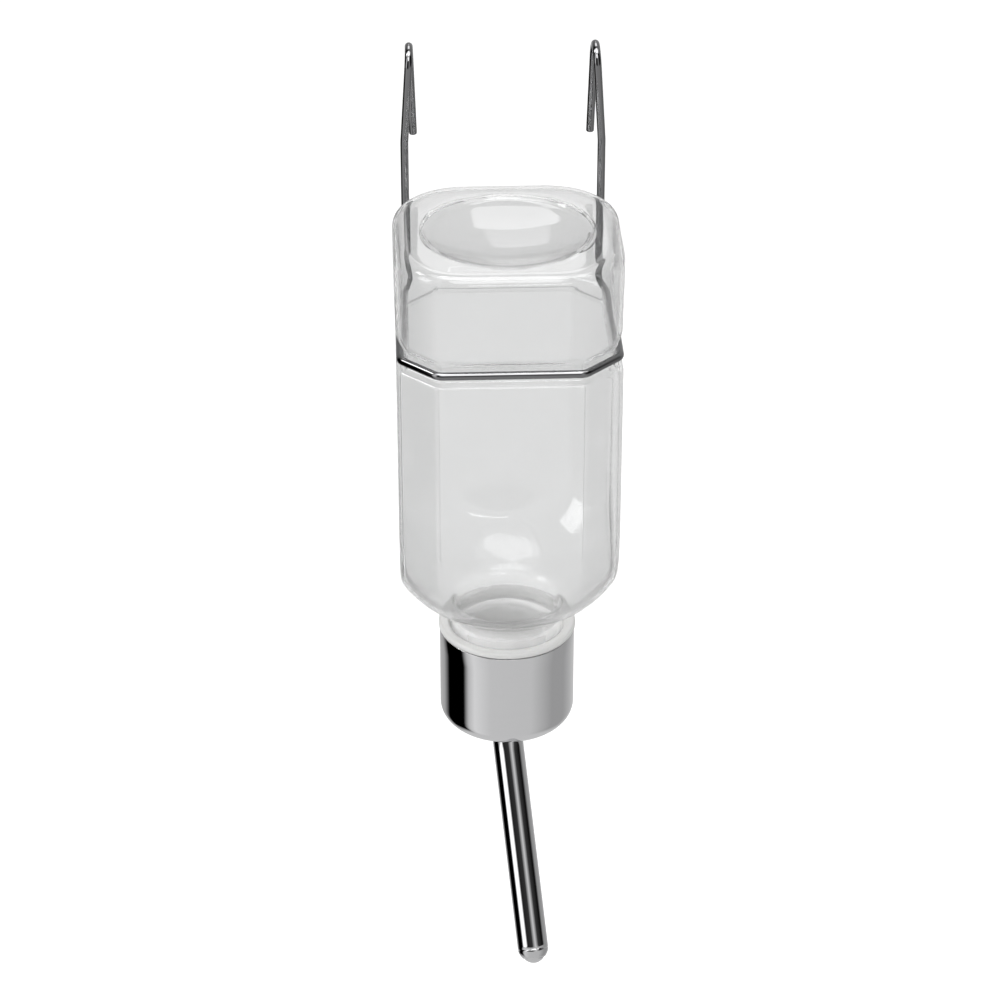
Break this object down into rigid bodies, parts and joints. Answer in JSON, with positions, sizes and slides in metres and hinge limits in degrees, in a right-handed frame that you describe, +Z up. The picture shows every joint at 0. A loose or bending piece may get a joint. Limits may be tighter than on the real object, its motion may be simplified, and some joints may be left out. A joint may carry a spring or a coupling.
{
  "type": "small animal water bottle",
  "caption": "Clear hanging water bottle for small pets: square blown bottle, wire hanger with hooks, metal screw cap and bent steel drinking tube closed by a ball.",
  "frame": {"origin": "midway between the centres of the two hook bends, where the cage bar sits", "axes": "+X to the right seen from the side the animal drinks on, +Y towards the cage bars that the hooks go over, +Z up, the bottle hanging mouth down"},
  "size_m": [0.0558, 0.0725, 0.2325],
  "materials": {
    "clear_plastic": "clear, glossy",
    "wire_steel": "bright plated wire",
    "cap_metal": "polished",
    "white_plastic": "gloss",
    "seal_rubber": "matt",
    "tube_steel": "polished stainless",
    "ball_steel": "polished"
  },
  "bodies": {
    "bottle": {"bottle": "clear_plastic", "hanger_wire": "wire_steel"},
    "seal": {"seal_washer": "seal_rubber"},
    "cap": {"cap_shell": "cap_metal", "cap_liner": "white_plastic", "drinking_tube": "tube_steel"},
    "ball": {"ball": "ball_steel"}
  },
  "joints": [
    {"name": "cap_travel", "type": "slide", "parent": "bottle", "child": "seal", "axis": [0, 0, -1], "range_m": [0, 0.0046]},
    {"name": "cap_turn", "type": "hinge", "parent": "seal", "child": "cap", "pos_m": [0, -0.0305, -0.1643], "axis": [0, 0, -1], "range_deg": [0, 540]},
    {"name": "ball_push", "type": "slide", "parent": "cap", "child": "ball", "axis": [-0.0976, 0.5652, 0.8192], "range_m": [0, 0.0015]}
  ],
  "couplings": [
    {"joint": "cap_travel", "follows": "cap_turn", "m_per_rad": 0.00047746}
  ]
}
